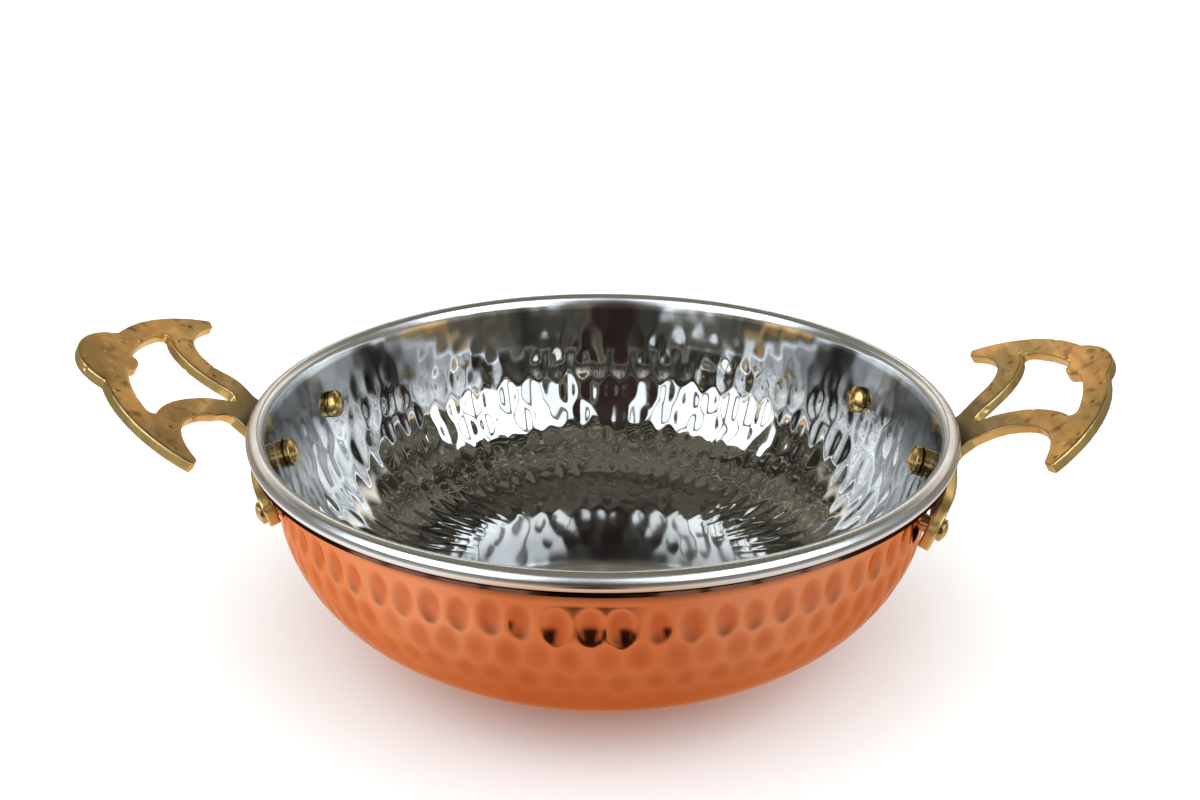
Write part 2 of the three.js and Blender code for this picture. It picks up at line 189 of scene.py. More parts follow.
def hammered(piece, section, face_rings, rows, blows, edge, scatter, crispness, seed):
    """Moves one face of a spun sheet by its hammer marks and keeps their depth as an attribute."""
    points = points_of(piece)
    radius = np.hypot(points[:, 0], points[:, 1])
    gaps = (radius[:, None] - section[:, 0]) ** 2 + (points[:, 2, None] - section[:, 1]) ** 2
    ring = np.argmin(gaps, axis=1)
    tangent = np.gradient(section, axis=0)
    tangent /= np.hypot(tangent[:, 0], tangent[:, 1])[:, None]
    lengths = np.hypot(*np.diff(section, axis=0).T)
    travelled = np.concatenate([[0], np.cumsum(lengths)])
    shoulder = np.argmin(np.hypot(*(section[:face_rings] - (wall_radius, shoulder_height)).T))
    down = (travelled[shoulder] - travelled)[ring]
    turn = np.arctan2(points[:, 1], points[:, 0])
    depth = hammer_marks(turn, down, rows, blows, edge, scatter, crispness, seed)
    depth[(ring >= face_rings) | (radius < smooth_floor_radius)] = 0
    outward = np.column_stack([tangent[ring, 1], -tangent[ring, 0]])
    points[:, 0] -= depth * outward[:, 0] * np.cos(turn)
    points[:, 1] -= depth * outward[:, 0] * np.sin(turn)
    points[:, 2] -= depth * outward[:, 1]
    put_points(piece, points)
    marks = piece.data.attributes.new("hammer_mark", "FLOAT", "POINT")
    marks.data.foreach_set("value", depth / rows[:, 3].max())


steel_face = steel_side(steel_inside, floor_steps=8, body_steps=52)
steel_back = steel_side(steel_outside, floor_steps=2, body_steps=8)
under_rim = wall_meets(steel_back[-1], wall_lean, bead_radius)
steel_rim = arc(bead, bead_radius, math.pi - wall_lean, angle_on_rim(under_rim), steps=20)
steel_face = chain(steel_face, straight(steel_face[-1], steel_rim[0], steps=20))
steel_section = chain(steel_face, steel_rim, steel_back[::-1])
steel_bowl = spun("steel_bowl_spun", steel_section, steps=800)

# Rows of blows in millimetres: how far below the shoulder, half of a blow's width and height, depth
steel_rows = mm * np.array([
    (-8.4, 2.8, 4.6, 0.05),
    (-1.5, 2.9, 5.6, 0.14),
    (5.6, 3.0, 5.6, 0.26),
    (12.6, 3.0, 5.4, 0.26),
    (19.4, 2.9, 5.0, 0.20),
    (26.2, 2.8, 5.0, 0.15),
    (33.0, 2.6, 5.0, 0.14),
    (40.0, 2.4, 5.0, 0.14),
    (47.5, 2.2, 4.6, 0.12),
])
hammered(
    steel_bowl, steel_section, len(steel_face), steel_rows,
    blows=74, edge=0.5, scatter=2.4, crispness=3, seed=5,
)
bpy.ops.object.shade_smooth()


def metal(name):
    """A metal with its shader, ready for its own colour and polish to be linked in."""
    material = bpy.data.materials.new(name)
    material.use_nodes = True
    shader = material.node_tree.nodes["Principled BSDF"]
    shader.inputs["Metallic"].default_value = 1
    return material, material.node_tree, shader


def add_node(tree, kind, **settings):
    node = tree.nodes.new(kind)
    for setting, value in settings.items():
        setattr(node, setting, value)
    return node


def coordinates(tree):
    """A piece's own coordinates, in metres."""
    return add_node(tree, "ShaderNodeTexCoord").outputs["Object"]


def axes_of(tree, vector):
    """The X, Y and Z of a vector, each by itself."""
    split = add_node(tree, "ShaderNodeSeparateXYZ")
    tree.links.new(vector, split.inputs["Vector"])
    return split.outputs["X"], split.outputs["Y"], split.outputs["Z"]


def noise_on(tree, vector, scale, detail, stretch=(1, 1, 1)):
    """Noise in a piece's own coordinates, drawn out along the axes that stretch shortens."""
    mapping = add_node(tree, "ShaderNodeMapping")
    mapping.inputs["Scale"].default_value = stretch
    tree.links.new(vector, mapping.inputs["Vector"])
    texture = add_node(tree, "ShaderNodeTexNoise")
    texture.inputs["Scale"].default_value = scale
    texture.inputs["Detail"].default_value = detail
    tree.links.new(mapping.outputs["Vector"], texture.inputs["Vector"])
    return texture.outputs["Fac"]


def ramp(tree, value, low, high, from_value, to_value):
    """A value between low and high spread over another range."""
    spread = add_node(tree, "ShaderNodeMapRange")
    for socket, number in zip(
        ("From Min", "From Max", "To Min", "To Max"), (low, high, from_value, to_value)
    ):
        spread.inputs[socket].default_value = number
    tree.links.new(value, spread.inputs["Value"])
    return spread.outputs["Result"]


def reckon(tree, operation, first, *others):
    """One value, or several in turn, put through a kind of sum; each is linked or a plain number."""
    for other in others or (0,):
        step = add_node(tree, "ShaderNodeMath", operation=operation)
        for socket, value in zip(step.inputs, (first, other)):
            if isinstance(value, bpy.types.NodeSocket):
                tree.links.new(value, socket)
            else:
                socket.default_value = value
        first = step.outputs["Value"]
    return first


def blend_of(tree, share, first, second):
    """One colour turning into another as the share goes from 0 to 1."""
    mix = add_node(tree, "ShaderNodeMix", data_type="RGBA")
    tree.links.new(share, mix.inputs["Factor"])
    for socket, colour in zip((mix.inputs["A"], mix.inputs["B"]), (first, second)):
        if isinstance(colour, tuple):
            socket.default_value = (*colour, 1)
        else:
            tree.links.new(colour, socket)
    return mix.outputs["Result"]


def raise_surface(tree, shader, height, strength, distance):
    bump = add_node(tree, "ShaderNodeBump")
    bump.inputs["Strength"].default_value = strength
    bump.inputs["Distance"].default_value = distance
    tree.links.new(height, bump.inputs["Height"])
    tree.links.new(bump.outputs["Normal"], shader.inputs["Normal"])


def buffed_steel():
    """Mirror inside, duller up the wall and painted darker there as shade, satin on the rolled rim and
    painted near white there as a highlight, with fine buffing lines round it.
    """
    material, tree, shader = metal("buffed_steel")
    place = coordinates(tree)
    height = axes_of(tree, place)[2]
    mirror = (0.61, 0.61, 0.605)
    # Painted shade: the steel's colour is made darker up the wall.
    painted_dark_wall = (0.40, 0.405, 0.41)
    # Painted highlight: the rolled rim is coloured near white.
    painted_rim_highlight = (0.97, 0.98, 1.0)
    wall_satin = ramp(tree, height, 42 * mm, 50 * mm, 0.03, 0.07)
    rim_satin = ramp(tree, height, bead[1] - mm, bead[1] + mm, 0, 0.14)
    smears = ramp(tree, noise_on(tree, place, scale=60, detail=3), 0.3, 0.7, 0, 0.05)
    satin = reckon(tree, "ADD", wall_satin, rim_satin, smears)
    tree.links.new(satin, shader.inputs["Roughness"])
    round_the_bowl = add_node(tree, "ShaderNodeTangent", direction_type="RADIAL", axis="Z")
    tree.links.new(round_the_bowl.outputs["Tangent"], shader.inputs["Tangent"])
    shader.inputs["Anisotropic"].default_value = 0.7
    up_the_wall = ramp(tree, height, 38 * mm, 47 * mm, 0, 1)
    on_the_rim = ramp(tree, height, bead[1] - 2 * mm, bead[1] - mm, 0, 1)
    wall = blend_of(tree, up_the_wall, mirror, painted_dark_wall)
    tree.links.new(blend_of(tree, on_the_rim, wall, painted_rim_highlight), shader.inputs["Base Color"])
    lines = noise_on(tree, place, scale=900, detail=2, stretch=(0.06, 0.06, 1))
    raise_surface(tree, shader, lines, strength=0.05, distance=0.05 * mm)
    return material


def dress(piece, material, node):
    """Gives a piece its metal and lets it stand for its node."""
    piece.data.materials.clear()
    piece.data.materials.append(material)
    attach(piece, "root")
    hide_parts(node)


dress(steel_bowl, buffed_steel(), "steel_bowl")


# Copper shell
# The outer shell is copper sheet nested on the steel, with its lip cupping the rolled rim.
# Rows of oval hammer blows ring its wall, deep and crisp at the top, fainter below.

base_radius = 32 * mm
base_round = 26 * mm
base_to_centre = body_centre - (base_radius, 0)
underside_slope = math.atan2(base_to_centre[1], base_to_centre[0])
underside_slope -= math.asin(body_radius / math.hypot(*base_to_centre))
lip_gap = 0.12 * mm
lip_inner = bead_radius + lip_gap
lip_outer = lip_inner + copper_thickness
lip_height = 4.5 * mm
lip_thickness = 0.12 * mm
back_height = 7.5 * mm
lip_start = math.radians(-140)
lip_end = math.radians(-62)
copper_lean = math.radians(3)


def copper_side(inset, floor_steps, underside_steps, body_steps):
    """A face of the copper: a small flat base, a straight underside, then the body curve."""
    body = body_face(inset, underside_slope - math.pi / 2, copper_lean, body_steps)
    edge = body[0][0] - (body[0][1] - inset) / math.tan(underside_slope)
    run = base_round * math.tan(underside_slope / 2)
    turn = arc(
        (edge - run, inset + base_round), base_round,
        -math.pi / 2, underside_slope - math.pi / 2, underside_steps // 2,
    )
    return chain(
        straight((0, inset), turn[0], floor_steps),
        turn,
        straight(turn[-1], body[0], underside_steps),
        body,
    )


copper_face = copper_side(0, floor_steps=2, underside_steps=8, body_steps=54)
copper_back = copper_side(copper_thickness, floor_steps=2, underside_steps=2, body_steps=6)


def up_copper(start, below_edge):
    """A point straight up the copper's wall, at a distance below its edge."""
    rise = copper_high.z - below_edge - start[1]
    return start + rise * np.array([math.tan(copper_lean), 1])


wall_top = up_copper(copper_face[-1], lip_height)
lip = arc(bead, lip_outer, lip_start, lip_end, steps=8)
copper_face = chain(
    copper_face,
    straight(copper_face[-1], wall_top, steps=16),
    straight(wall_top, lip[0], steps=5),
)
copper_section = chain(
    copper_face,
    lip,
    arc(bead, lip_inner, lip_end, lip_start, steps=5),
    [wall_top - (lip_thickness, 0), up_copper(copper_back[-1], back_height)],
    copper_back[::-1],
)
copper_shell = spun("copper_shell_hammered", copper_section, steps=768)
copper_rows = mm * np.array([
    (-2.3, 2.85, 4.3, 0.54),
    (5.6, 2.9, 4.2, 0.36),
    (12.4, 2.8, 3.6, 0.24),
    (18.6, 2.5, 3.0, 0.08),
])
hammered(
    copper_shell, copper_section, len(copper_face), copper_rows,
    blows=76, edge=0.05, scatter=1, crispness=20, seed=11,
)
bpy.ops.object.shade_smooth_by_angle(angle=math.radians(50))


def hammered_copper():
    """Lacquered copper: warm and streaked, with painted shade in the hollows of the blows and a
    painted shadow under the rim.
    """
    material, tree, shader = metal("hammered_copper")
    place = coordinates(tree)
    height = axes_of(tree, place)[2]
    marks = add_node(tree, "ShaderNodeAttribute", attribute_name="hammer_mark").outputs["Fac"]
    grain = noise_on(tree, place, scale=160, detail=3, stretch=(0.12, 0.12, 1))
    streaks = ramp(tree, grain, 0.35, 0.65, 0, 1)
    clouds = ramp(tree, noise_on(tree, place, scale=45, detail=4), 0.35, 0.65, 0, 1)
    # Painted shade: the hollows of the blows are coloured darker, deeper ones more.
    hollows = ramp(tree, marks, 0.02, 0.8, 0, 0.8)
    # Painted shadow: a dark band of colour just under the rolled rim.
    painted_rim_shadow = ramp(tree, height, 50.6 * mm, 53.8 * mm, 0, 1)
    warm = blend_of(tree, clouds, (0.82, 0.29, 0.13), (0.92, 0.37, 0.19))
    streaked = blend_of(tree, streaks, warm, (0.86, 0.32, 0.15))
    shade = blend_of(tree, hollows, streaked, (0.64, 0.175, 0.07))
    tree.links.new(blend_of(tree, painted_rim_shadow, shade, (0.10, 0.045, 0.03)), shader.inputs["Base Color"])
    tree.links.new(ramp(tree, streaks, 0, 1, 0.08, 0.14), shader.inputs["Roughness"])
    shader.inputs["Specular Tint"].default_value = (0.95, 0.6, 0.42, 1)
    pores = noise_on(tree, place, scale=700, detail=4)
    raise_surface(tree, shader, pores, strength=0.12, distance=0.05 * mm)
    return material


dress(copper_shell, hammered_copper(), "copper_shell")


# Brass handles
# Each handle is one flat brass casting, filed on its faces and edges: a crescent with a knob
# and two arms, a neck bent down at the rim, and a strap wrapped round the wall below it.

plate_thickness = 2.6 * mm
root_half_width = 7 * mm
waist = 5.5 * mm, 9.3 * mm
shoulder = 15.1 * mm, 12.5 * mm
notch = 15.1 * mm, 22 * mm
horn_root = 15.1 * mm, 26.5 * mm
horn_back = 12.9 * mm, 30 * mm
horn_angle = math.radians(67.3)
horn_tip_width = 2.7 * mm
crescent_centre = -3 * mm, 0
crescent_radius = 38.4 * mm
crescent_width = 6 * mm
knob_radius = 13.3 * mm
slot_end = 2.9 * mm, 0
slot_corner = 2.9 * mm, 1.5 * mm
slot_side = 5 * mm, 2.2 * mm
arm_bend = 11.4 * mm, 4.3 * mm
arm_end = 19.5 * mm, 10.5 * mm
loop_corner = 21.2 * mm, 18.4 * mm
loop_corner_turn = 21.2 * mm, 20.3 * mm
loop_angle = math.radians(35.7)
stub_half_width = 4.2 * mm
stub_depth = 2.2 * mm
sweep_reach = 8 * mm
bend_reach = 6.5 * mm
bend_ease = 3 * mm
bend_radius = 3.5 * mm
horns_from = -2 * mm
horns_beyond = 16 * mm
strap_gap = 0.5 * mm
strap_tilt = math.radians(73)
strap_half_angle = math.radians(27.5)
strap_drop = 13.7 * mm
wrap_from = 1 * mm
wrap_run = 6 * mm
least_wrap = 0.001
leg_rise = 4.6 * mm
leg_end_height = 3.5 * mm
leg_end_run = 10 * mm
neck_fillet_run = 8 * mm
neck_fillet_rise = 3.1 * mm
leg_blend_run = 1.5 * neck_fillet_run
line_top = 55 * mm
line_bottom = -30 * mm
line_step = 0.05 * mm
rivet_hole_radius = 2.3 * mm
spot_face_radius = 2.9 * mm
spot_face_depth = 0.6 * mm
root_overhang = 2.6 * mm
strap_inner = wall_radius + strap_gap
root_reach = copper_high.x + root_overhang

handles = {
    "right": {
        "heading": 0,
        "plate_tilt": math.radians(31),
        "neck_tilt": math.radians(41),
        "yaw": 0,
        "root_height": steel_high.z - 5.4 * mm,
        "rivet_height": copper_high.z - 9.5 * mm,
        "rivets": {"front": -25, "middle": -2.3, "back": 27.3},
        "knob_reach": 38.0 * mm,
    },
    "left": {
        "heading": math.pi,
        "plate_tilt": math.radians(28.5),
        "neck_tilt": math.radians(45),
        "yaw": math.radians(16.3),
        "root_height": steel_high.z - 2.5 * mm,
        "rivet_height": copper_high.z - 8.7 * mm,
        "rivets": {"front": 25, "middle": 4.6, "back": -18.5},
        "knob_reach": 41.2 * mm,
    },
}
for handle in handles.values():
    handle["strap_foot"] = handle["root_height"] - strap_drop
    rivet_rise = handle["rivet_height"] - handle["strap_foot"]
    strap_face = strap_inner + rivet_rise / math.tan(strap_tilt)
    handle["rivet_face"] = strap_face + plate_thickness / math.sin(strap_tilt) - spot_face_depth
    handle["rivet_wall"] = wall_at(handle["rivet_height"], steel_inside)


def curve_run(*controls, steps=14):
    """A Bezier curve through its two or three control points, as a run of points."""
    share = np.linspace(0, 1, steps + 1)[:, None]
    rows = [np.array(point, float) for point in controls]
    while len(rows) > 1:
        rows = [a + (b - a) * share for a, b in zip(rows, rows[1:])]
    return rows[0]


def centreline(handle):
    """The inner face at the middle of a handle, from the strap's foot up and out along the plate."""
    plate_tilt, neck_tilt = handle["plate_tilt"], handle["neck_tilt"]
    neck = np.array([root_reach, handle["root_height"]])
    neck += bend_reach * np.array([math.cos(plate_tilt), math.sin(plate_tilt)])
    neck -= bend_reach * np.array([math.cos(neck_tilt), math.sin(neck_tilt)])
    start = neck + bend_radius * np.array([
        math.sin(neck_tilt) - math.sin(strap_tilt), math.cos(strap_tilt) - math.cos(neck_tilt),
    ])
    excess = start[0] - strap_inner - (start[1] - handle["strap_foot"]) / math.tan(strap_tilt)
    length = excess / (math.cos(neck_tilt) - math.sin(neck_tilt) / math.tan(strap_tilt))
    bend = bend_radius * (strap_tilt - neck_tilt)
    along = np.arange(line_top, line_bottom, -line_step)
    corners = [-length - bend, -length, bend_reach - bend_ease, bend_reach + bend_ease]
    tilt = np.interp(along, corners, [strap_tilt, neck_tilt, neck_tilt, plate_tilt])
    step = np.gradient(along)
    top_reach = root_reach + line_top * math.cos(plate_tilt)
    top_height = handle["root_height"] + line_top * math.sin(plate_tilt)
    reach = top_reach + np.cumsum(step * np.cos(tilt))
    height = top_height + np.cumsum(step * np.sin(tilt))
    kept = height > handle["strap_foot"]
    return along[kept][::-1], reach[kept][::-1], height[kept][::-1], tilt[kept][::-1]


def both_sides(edge):
    """An edge that starts and ends on the middle line, carried on down its other side."""
    return np.concatenate([edge, edge[-2:0:-1] * (1, -1)])


def casting_outline(line, handle):
    """The casting laid flat: outer edge, loop and rivet holes, along the line and across it."""
    foot = line[0][0]

    def up_strap(height):
        return foot + (height - handle["strap_foot"]) / math.sin(strap_tilt)

    leg_top = up_strap(handle["rivet_height"] + leg_rise)
    leg_end = strap_half_angle * strap_inner
    knob_centre = np.array([handle["knob_reach"] - knob_radius, 0])
    spacing = knob_centre[0] - crescent_centre[0]
    meet_along = (spacing**2 + crescent_radius**2 - knob_radius**2) / (2 * spacing)
    meet_across = math.sqrt(crescent_radius**2 - meet_along**2)
    horn_tip = arc(crescent_centre, crescent_radius - horn_tip_width, horn_angle, horn_angle, 1)[0]
    horn = arc(
        crescent_centre, crescent_radius,
        horn_angle, math.atan2(meet_across, meet_along), 40,
    )
    knob = arc(knob_centre, knob_radius, math.atan2(meet_across, meet_along - spacing), 0, 20)
    edge = chain(
        [(foot, 0), (foot, leg_end)],
        curve_run(
            (foot + leg_end_height, leg_end), (leg_top, leg_end), (leg_top, leg_end - leg_end_run),
        ),
        curve_run(
            (leg_top, root_half_width + neck_fillet_run), (leg_top, root_half_width),
            (leg_top + neck_fillet_rise, root_half_width),
        ),
        curve_run((0, root_half_width), waist, shoulder, notch),
        curve_run(notch, horn_root, horn_back, horn_tip),
        horn,
        knob,
    )
    inner_radius = crescent_radius - crescent_width
    stub_start = math.asin(stub_half_width / inner_radius)
    inside = arc(crescent_centre, inner_radius, loop_angle, stub_start, 16)
    stub_tip = crescent_centre[0] + inner_radius - stub_depth
    stub_foot = inside[-1]
    loop = chain(
        curve_run(slot_end, slot_corner, slot_side, steps=6),
        curve_run(slot_side, arm_bend, arm_end, loop_corner),
        curve_run(loop_corner, loop_corner_turn, inside[0], steps=6),
        inside,
        curve_run(
            stub_foot, stub_foot * (1, 0.5), (stub_tip, 0.75 * stub_foot[1]), (stub_tip, 0), steps=8,
        ),
    )
    holes = [
        arc(
            (up_strap(handle["rivet_height"]), math.radians(degrees) * strap_inner),
            rivet_hole_radius, 0, 2 * math.pi, 24,
        )[:-1]
        for degrees in handle["rivets"].values()
    ]
    return [both_sides(edge), both_sides(loop), *holes]


def cast_flat(name, outlines):
    """A flat casting from its outlines, skinned evenly and with its edges eased."""
    curve = bpy.data.curves.new(name, "CURVE")
    curve.dimensions = "2D"
    curve.fill_mode = "BOTH"
    curve.extrude = plate_thickness / 2
    for outline in outlines:
        spline = curve.splines.new("POLY")
        spline.points.add(len(outline) - 1)
        flat = np.column_stack([outline, np.zeros(len(outline)), np.ones(len(outline))])
        spline.points.foreach_set("co", flat.ravel())
        spline.use_cyclic_u = True
    casting = bpy.data.objects.new(name, curve)
    bpy.context.collection.objects.link(casting)
    bpy.ops.object.select_all(action="DESELECT")
    casting.select_set(True)
    bpy.context.view_layer.objects.active = casting
    bpy.ops.object.convert(target="MESH")
    casting = bpy.context.object
    bpy.ops.object.mode_set(mode="EDIT")
    bpy.ops.mesh.select_all(action="SELECT")
    bpy.ops.mesh.remove_doubles(threshold=0.002 * mm)
    bpy.ops.mesh.normals_make_consistent(inside=False)
    bpy.ops.object.mode_set(mode="OBJECT")
    skin = casting.modifiers.new("even_skin", "REMESH")
    skin.mode = "VOXEL"
    skin.voxel_size = 0.3 * mm
    bpy.ops.object.modifier_apply(modifier=skin.name)
    ease = casting.modifiers.new("eased_edges", "SMOOTH")
    ease.factor = 0.5
    ease.iterations = 3
    bpy.ops.object.modifier_apply(modifier=ease.name)
    return casting


side_sharpness = 1.6
file_wave_scale = 110
file_wave_height = 0.09 * mm
sand_scale = 420
sand_height = 0.03 * mm
pit_count = 34
pit_radii = 0.35, 0.9
pit_depths = 0.1, 0.22
pit_reach = 0.6 * mm
pits_from = 4 * mm


def filed_and_pitted(casting, seed):
    """Marks the sides and hollows the faces a little, as a file and the sand leave them."""
    points = points_of(casting)
    normals = np.empty_like(points).ravel()
    casting.data.vertices.foreach_get("normal", normals)
    normals = normals.reshape(-1, 3)
    sides = np.clip(side_sharpness * (1 - np.abs(normals[:, 2])), 0, 1)
    marks = casting.data.attributes.new("filed_side", "FLOAT", "POINT")
    marks.data.foreach_set("value", sides)
    places = [Vector(point) for point in points]
    waves = np.array([noise.noise(p * file_wave_scale + Vector((seed, 0, 0))) for p in places])
    fine = np.array([noise.noise(p * sand_scale + Vector((0, seed, 0))) for p in places])
    points += normals * (file_wave_height * waves + sand_height * fine)[:, None]
    draws = np.random.default_rng(seed)
    plate = points[points[:, 0] > pits_from]
    for place in plate[draws.choice(len(plate), pit_count)]:
        radius = draws.uniform(*pit_radii) * mm
        apart = np.hypot(*(points[:, :2] - place[:2]).T) / radius
        near = np.clip(1 - apart**2, 0, 1) * (np.abs(points[:, 2] - place[2]) < pit_reach)
        points -= normals * (draws.uniform(*pit_depths) * mm * near)[:, None]
    put_points(casting, points)


def spot_face(points, handle):
    """Cuts a handle's points back flat under the outer head of each rivet."""
    for degrees in handle["rivets"].values():
        angle = math.radians(degrees)
        outward = points[:, 0] * math.cos(angle) + points[:, 1] * math.sin(angle)
        outward -= handle["rivet_wall"]
        aside = points[:, 1] * math.cos(angle) - points[:, 0] * math.sin(angle)
        above = points[:, 2] - handle["rivet_height"]
        along_rivet = (
            handle["rivet_wall"] + outward * math.cos(wall_lean) - above * math.sin(wall_lean)
        )
        across_rivet = outward * math.sin(wall_lean) + above * math.cos(wall_lean)
        near = np.hypot(aside, across_rivet) < spot_face_radius
        proud = np.where(near, np.maximum(along_rivet - handle["rivet_face"], 0), 0)
        points[:, 0] -= proud * math.cos(angle) * math.cos(wall_lean)
        points[:, 1] -= proud * math.sin(angle) * math.cos(wall_lean)
        points[:, 2] += proud * math.sin(wall_lean)


def bend_to_place(casting, line, handle):
    """Sweeps the plate, bends the flat casting along its line and wraps the strap on the wall."""
    along, reach, height, tilt = line
    flat = points_of(casting)
    share = np.clip(flat[:, 0] / sweep_reach, 0, 1)
    sweep = handle["yaw"] * share**2 * (3 - 2 * share)
    run = flat[:, 0] * np.cos(sweep) - flat[:, 1] * np.sin(sweep)
    across = flat[:, 0] * np.sin(sweep) + flat[:, 1] * np.cos(sweep)
    depth = flat[:, 2] - plate_thickness / 2
    leg_share = np.clip((np.abs(across) - root_half_width) / leg_blend_run, 0, 1)
    leg_share *= (run < 0) * leg_share * (3 - 2 * leg_share)
    leg_run = run - along[0]
    leg_reach = strap_inner + leg_run * math.cos(strap_tilt)
    leg_height = height[0] + leg_run * math.sin(strap_tilt)
    lean = np.interp(run, along, tilt)
    lean += leg_share * (strap_tilt - lean)
    out = np.interp(run, along, reach)
    up = np.interp(run, along, height)
    horns = (run > horns_from) & (np.abs(across) > horns_beyond)
    lean = np.where(horns, handle["plate_tilt"], lean)
    out = np.where(horns, root_reach + run * math.cos(handle["plate_tilt"]), out)
    up = np.where(horns, handle["root_height"] + run * math.sin(handle["plate_tilt"]), up)
    out += leg_share * (leg_reach - out) - depth * np.sin(lean)
    up += leg_share * (leg_height - up) + depth * np.cos(lean)
    wrap = np.clip((wrap_from - run) / wrap_run, least_wrap, 1)
    turn = wrap * across / strap_inner
    around = (1 + wrap * (out / strap_inner - 1)) * strap_inner / wrap
    points = np.column_stack([out - around * (1 - np.cos(turn)), around * np.sin(turn), up])
    spot_face(points, handle)
    if handle["heading"]:
        points[:, :2] *= -1
    put_points(casting, points)


def length_of(tree, vector):
    """How far a place is from the middle of the base."""
    length = add_node(tree, "ShaderNodeVectorMath", operation="LENGTH")
    tree.links.new(vector, length.inputs[0])
    return length.outputs["Value"]


def filed_brass():
    """Cast brass: olive and tan on its faces, with painted shade towards the neck, brighter gold along
    its filed sides and a painted highlight along their eased edges.
    """
    material, tree, shader = metal("filed_brass")
    place = coordinates(tree)
    sides = add_node(tree, "ShaderNodeAttribute", attribute_name="filed_side").outputs["Fac"]
    clouds = ramp(tree, noise_on(tree, place, scale=55, detail=6), 0.38, 0.62, 0, 1)
    stains = ramp(tree, noise_on(tree, place, scale=260, detail=4), 0.56, 0.70, 0, 0.75)
    # Painted shade: the faces are coloured darker towards the neck at the rim.
    neck = ramp(tree, length_of(tree, place), 104 * mm, 128 * mm, 1, 0)
    # Painted highlight: a pale line of colour along the eased edges, between faces and filed sides.
    inner_edge = ramp(tree, sides, 0.25, 0.5, 0, 1)
    outer_edge = ramp(tree, sides, 0.6, 0.95, 1, 0)
    painted_edge_highlight = reckon(tree, "MULTIPLY", inner_edge, outer_edge)
    tan = blend_of(tree, clouds, (0.62, 0.40, 0.13), (1.0, 0.55, 0.17))
    painted_neck_shade = blend_of(tree, neck, tan, (0.20, 0.155, 0.065))
    faces = blend_of(tree, stains, painted_neck_shade, (0.20, 0.12, 0.04))
    filed = blend_of(tree, sides, faces, (0.92, 0.64, 0.24))
    shade = blend_of(tree, painted_edge_highlight, filed, (1.0, 0.82, 0.45))
    tree.links.new(shade, shader.inputs["Base Color"])
    strokes = noise_on(tree, place, scale=420, detail=3, stretch=(1, 0.1, 0.3))
    tree.links.new(ramp(tree, strokes, 0.3, 0.7, 0.26, 0.44), shader.inputs["Roughness"])
    raise_surface(tree, shader, strokes, strength=0.22, distance=0.08 * mm)
    return material


brass = filed_brass()
for number, (side, handle) in enumerate(handles.items()):
    line = centreline(handle)
    casting = cast_flat(f"{side}_handle_cast", casting_outline(line, handle))
    filed_and_pitted(casting, seed=21 + number)
    bend_to_place(casting, line, handle)
    bpy.ops.object.shade_smooth()
    dress(casting, brass, f"{side}_handle")


# Rivets
# Three brass rivets hold each strap, through both sheets: a turned, domed head stands inside
# the bowl, and the shank is set over into a smaller head on the strap outside.

inner_head_radius = 3.6 * mm
inner_head_side = 1.4 * mm
inner_dome_height = 1.2 * mm
outer_head_radius = 2.6 * mm
outer_head_side = 1.1 * mm
outer_dome_height = 0.7 * mm
shank_radius = 2 * mm
seat_gap = 0.3 * mm
seat_band = 0.4 * mm
seat_bevel = 0.15 * mm
edge_round = 0.35 * mm


def dome(radius, height, steps):
    """Half the section of a shallow dome, from its top to its edge, as radius and height."""
    ball = (radius**2 + height**2) / (2 * height)
    return arc((0, height - ball), ball, math.pi / 2, math.asin((ball - height) / ball), steps)


def rivet_section(inner_seat, outer_seat):
    """Half the section of a rivet, from the top of its inner head to the top of its outer one."""
    inner_edge = inner_seat - inner_head_side
    outer_edge = outer_seat + outer_head_side
    inner_dome_radius = inner_head_radius - edge_round
    outer_dome_radius = outer_head_radius - edge_round
    return chain(
        dome(inner_dome_radius, inner_dome_height, 12) * (1, -1) + (0, inner_edge),
        arc((inner_dome_radius, inner_edge + edge_round), edge_round, -math.pi / 2, 0, 4),
        [
            (inner_head_radius, inner_seat - seat_band),
            (inner_head_radius, inner_seat - seat_bevel),
        ],
        straight((inner_head_radius - seat_bevel, inner_seat), (shank_radius, inner_seat), 3),
        straight((shank_radius, inner_seat), (shank_radius, outer_seat), 6),
        straight((shank_radius, outer_seat), (outer_head_radius, outer_seat), 2),
        arc((outer_dome_radius, outer_edge - edge_round), edge_round, 0, math.pi / 2, 4),
        (dome(outer_dome_radius, outer_dome_height, 7) + (0, outer_edge))[::-1],
    )


def turned_brass():
    """Brass turned smooth on the heads, a little darkened."""
    material, tree, shader = metal("turned_brass")
    place = coordinates(tree)
    clouds = ramp(tree, noise_on(tree, place, scale=300, detail=4), 0.35, 0.65, 0, 1)
    shade = blend_of(tree, clouds, (0.58, 0.39, 0.14), (0.85, 0.60, 0.24))
    tree.links.new(shade, shader.inputs["Base Color"])
    tree.links.new(ramp(tree, clouds, 0, 1, 0.16, 0.28), shader.inputs["Roughness"])
    return material


